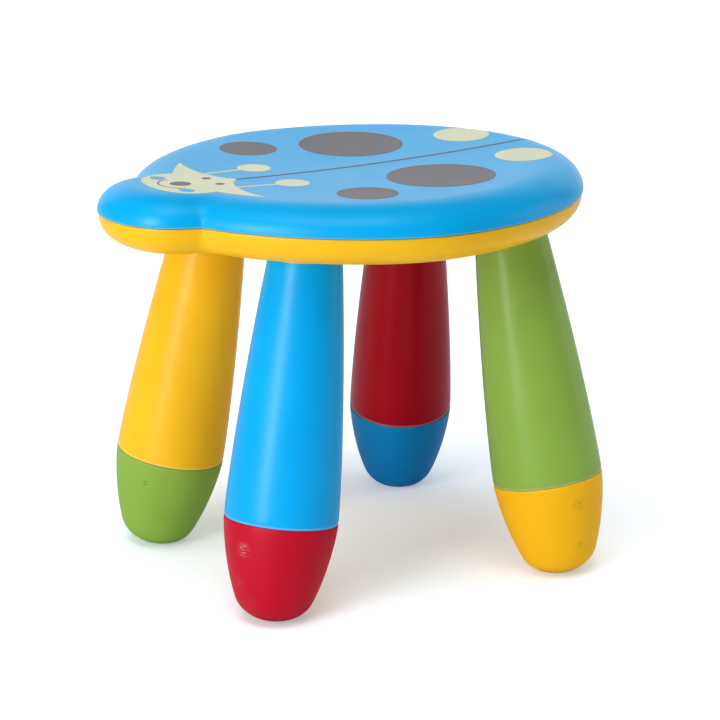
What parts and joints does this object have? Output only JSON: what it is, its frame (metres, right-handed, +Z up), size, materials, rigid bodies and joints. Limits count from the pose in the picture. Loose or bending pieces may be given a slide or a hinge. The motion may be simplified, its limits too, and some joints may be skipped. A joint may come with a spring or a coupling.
{
  "type": "children's stool",
  "caption": "Low plastic stool with a ladybird-shaped dished seat on splayed twist-lock legs, each a tapered tube ending in a rounded foot cup.",
  "frame": {"origin": "on the floor, under the middle of the seat's outline", "axes": "+Z up; -Y towards the ladybird's head, +Y towards its tail; +X to the right side"},
  "size_m": [0.29, 0.347, 0.2807],
  "materials": {
    "blue_shell": "satin moulded polypropylene",
    "yellow_tray": "satin moulded polypropylene",
    "grey_ink": "printed film",
    "cream_ink": "printed film",
    "screw_steel": "zinc plated",
    "socket_plastic": "moulded nylon, tray yellow",
    "stud_plastic": "moulded nylon",
    "blue_tube": "satin moulded polypropylene",
    "yellow_tube": "satin moulded polypropylene",
    "green_tube": "satin moulded polypropylene",
    "red_tube": "satin moulded polypropylene",
    "red_foot": "matt moulded soft plastic",
    "green_foot": "matt moulded soft plastic",
    "yellow_foot": "matt moulded soft plastic",
    "blue_foot": "matt moulded soft plastic"
  },
  "bodies": {
    "seat": {"seat_shell": "blue_shell", "seat_tray": "yellow_tray", "print_dark": "grey_ink", "print_pale": "cream_ink", "case_screws": "screw_steel", "socket_front_right": "socket_plastic", "socket_front_left": "socket_plastic", "socket_rear_right": "socket_plastic", "socket_rear_left": "socket_plastic"},
    "leg_front_right": {"stud_front_right": "stud_plastic", "tube_front_right": "blue_tube", "foot_front_right": "red_foot"},
    "leg_front_left": {"stud_front_left": "stud_plastic", "tube_front_left": "yellow_tube", "foot_front_left": "green_foot"},
    "leg_rear_right": {"stud_rear_right": "stud_plastic", "tube_rear_right": "green_tube", "foot_rear_right": "yellow_foot"},
    "leg_rear_left": {"stud_rear_left": "stud_plastic", "tube_rear_left": "red_tube", "foot_rear_left": "blue_foot"}
  },
  "joints": [
    {"name": "front_right_twist", "type": "hinge", "parent": "seat", "child": "leg_front_right", "pos_m": [0.0854, -0.0991, 0], "axis": [0.0879, -0.1533, -0.9843], "range_deg": [0, 75]},
    {"name": "front_left_twist", "type": "hinge", "parent": "seat", "child": "leg_front_left", "pos_m": [-0.0854, -0.0991, 0], "axis": [-0.0879, -0.1533, -0.9843], "range_deg": [0, 75]},
    {"name": "rear_right_twist", "type": "hinge", "parent": "seat", "child": "leg_rear_right", "pos_m": [0.1076, 0.1186, 0], "axis": [0.179, 0.0912, -0.9796], "range_deg": [0, 75]},
    {"name": "rear_left_twist", "type": "hinge", "parent": "seat", "child": "leg_rear_left", "pos_m": [-0.1076, 0.1186, 0], "axis": [-0.179, 0.0912, -0.9796], "range_deg": [0, 75]}
  ]
}
